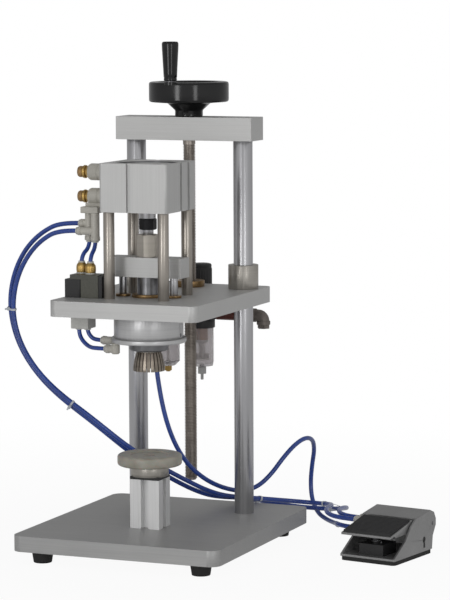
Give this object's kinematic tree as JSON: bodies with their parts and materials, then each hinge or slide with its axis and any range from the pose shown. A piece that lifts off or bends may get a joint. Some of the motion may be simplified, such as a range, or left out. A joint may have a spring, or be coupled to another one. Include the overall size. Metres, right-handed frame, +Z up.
{
  "type": "pneumatic bottle collar crimping machine",
  "caption": "Bench press that crimps a spray pump's collar onto a perfume bottle: air cylinder and collet on a screw-raised platform between two columns, with a foot pedal on hoses.",
  "frame": {"origin": "on the table, under the middle of the base plate", "axes": "+Z up, +Y from the bottle rest towards the columns and the air unit, +X to the operator's right"},
  "size_m": [0.5312, 0.4118, 0.6483],
  "materials": {
    "aluminium_plate": "satin, milled",
    "cylinder_aluminium": "satin, anodised",
    "chromed_bar": "polished",
    "steel": "turned",
    "dark_steel": "blackened",
    "bronze": "turned",
    "brass": "turned",
    "red_brown_pipe": "tarnished",
    "black_plastic": "gloss",
    "grey_plastic": "matt",
    "clear_bowl": "clear",
    "filter": "matt",
    "pedal_casting": "satin",
    "rubber": "matt",
    "blue_hose": "gloss"
  },
  "bodies": {
    "frame": {"base_plate": "aluminium_plate", "rubber_feet": "rubber", "guide_columns": "chromed_bar", "frame_screws": "dark_steel", "top_beam": "aluminium_plate", "beam_bush": "bronze", "bottle_post": "cylinder_aluminium", "post_cap": "black_plastic", "plate_hub": "aluminium_plate", "bottle_plate": "grey_plastic", "pedal_housing": "pedal_casting", "pedal_base_pad": "rubber", "pedal_valve": "pedal_casting", "pedal_hinge_pin": "steel", "pedal_fittings": "grey_plastic", "pedal_spring": "steel", "loop_hose_outer": "blue_hose", "loop_hose_inner": "blue_hose", "supply_hose": "blue_hose"},
    "screw": {"lead_screw": "dark_steel", "handwheel": "black_plastic", "handle_spindle": "steel"},
    "handle": {"revolving_handle": "black_plastic"},
    "platform": {"platform_plate": "aluminium_plate", "column_bushes": "steel", "lead_nut": "bronze", "platform_bushes": "bronze", "cylinder_pillars": "steel", "cylinder_screws": "dark_steel", "cylinder_body": "cylinder_aluminium", "cylinder_end_cap": "cylinder_aluminium", "rod_guide": "bronze", "brass_fittings": "brass", "push_in_fittings": "grey_plastic", "valve_body": "cylinder_aluminium", "valve_end_caps": "black_plastic", "hose_manifold": "cylinder_aluminium", "short_hoses": "blue_hose", "head_cylinder": "steel", "head_ring": "steel", "collet": "dark_steel", "collet_pins": "steel", "air_unit_bracket": "cylinder_aluminium", "air_unit_bodies": "cylinder_aluminium", "bowl_collars": "black_plastic", "air_unit_bowls": "clear_bowl", "filter_element": "filter", "inlet_elbow": "red_brown_pipe"},
    "ram": {"piston": "steel", "piston_rod": "chromed_bar", "lock_nut": "dark_steel", "rod_coupler": "steel", "crossbar": "aluminium_plate", "guide_rods": "chromed_bar", "closing_sleeve": "dark_steel"},
    "knob": {"regulator_knob": "black_plastic"},
    "drain": {"bowl_drain": "grey_plastic"},
    "treadle": {"treadle_plate": "pedal_casting", "treadle_pad": "rubber"},
    "plunger": {"pedal_plunger": "steel"}
  },
  "joints": [
    {"name": "screw_turn", "type": "hinge", "parent": "frame", "child": "screw", "pos_m": [0, 0.09, 0.3], "axis": [0, 0, 1], "range_deg": [-18000, 14400]},
    {"name": "platform_lift", "type": "slide", "parent": "frame", "child": "platform", "axis": [0, 0, 1], "range_m": [-0.08, 0.1], "deforming": ["loop_hose_outer", "loop_hose_inner", "supply_hose"]},
    {"name": "handle_spin", "type": "hinge", "parent": "screw", "child": "handle", "pos_m": [-0.00633, 0.04494, 0.62], "axis": [0, 0, 1], "continuous": true},
    {"name": "ram_press", "type": "slide", "parent": "platform", "child": "ram", "axis": [0, 0, 1], "range_m": [-0.012, 0], "deforming": ["collet"]},
    {"name": "regulator_turn", "type": "hinge", "parent": "platform", "child": "knob", "pos_m": [-0.009, 0.15, 0.335], "axis": [0, 0, 1], "range_deg": [0, 1440]},
    {"name": "drain_push", "type": "slide", "parent": "platform", "child": "drain", "axis": [0, 0, 1], "range_m": [0, 0.0018], "stiffness_N_per_m": 400, "springref_m": -0.0005},
    {"name": "treadle_tilt", "type": "hinge", "parent": "frame", "child": "treadle", "pos_m": [0.29166, 0.10568, 0.038], "axis": [0.9848, -0.1736, 0], "range_deg": [0, 6], "stiffness_Nm_per_rad": 1, "springref_deg": -14.32},
    {"name": "plunger_push", "type": "slide", "parent": "frame", "child": "plunger", "axis": [0, 0, 1], "range_m": [-0.0088, 0], "deforming": ["pedal_spring"]}
  ],
  "couplings": [
    {"joint": "platform_lift", "follows": "screw_turn", "m_per_rad": -0.00031831},
    {"joint": "plunger_push", "follows": "treadle_tilt", "m_per_rad": -0.084}
  ]
}
